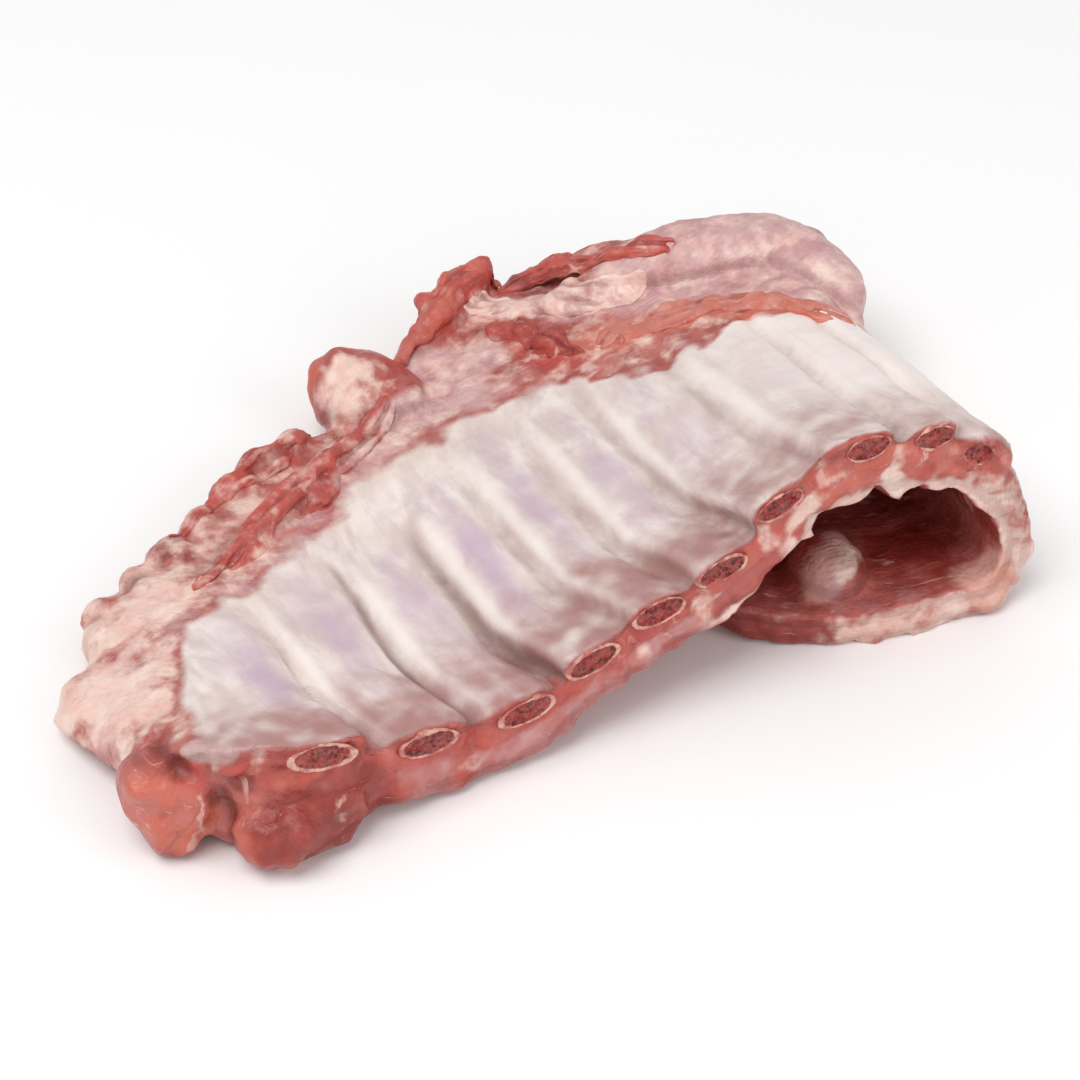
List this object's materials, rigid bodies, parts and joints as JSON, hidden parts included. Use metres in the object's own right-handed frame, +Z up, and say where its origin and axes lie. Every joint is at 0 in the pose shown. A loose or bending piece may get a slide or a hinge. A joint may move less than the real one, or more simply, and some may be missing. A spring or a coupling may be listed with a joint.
{
  "type": "raw rack of ribs",
  "caption": "Raw rack of pork ribs lying bone side up, with a pale membrane over the ribs, red meat and fat along its edges, and its thin end arched up and rolled under.",
  "frame": {"origin": "middle of the rack's bounding box, on the surface that it lies on", "axes": "+X along the rack to its rolled end, +Y from the sawn rib ends to the ragged far edge, +Z up"},
  "size_m": [0.3418, 0.2338, 0.0958],
  "materials": {
    "meat": "raw meat and membrane, moist, softly glossy",
    "bone": "sawn bone, dull, dark red marrow in a pale rim"
  },
  "bodies": {
    "root": {"meat": "meat", "rib_bone_01": "bone", "rib_bone_02": "bone", "rib_bone_03": "bone", "rib_bone_04": "bone", "rib_bone_05": "bone", "rib_bone_06": "bone", "rib_bone_07": "bone", "rib_bone_08": "bone", "rib_bone_09": "bone", "rib_bone_10": "bone"}
  },
  "joints": []
}
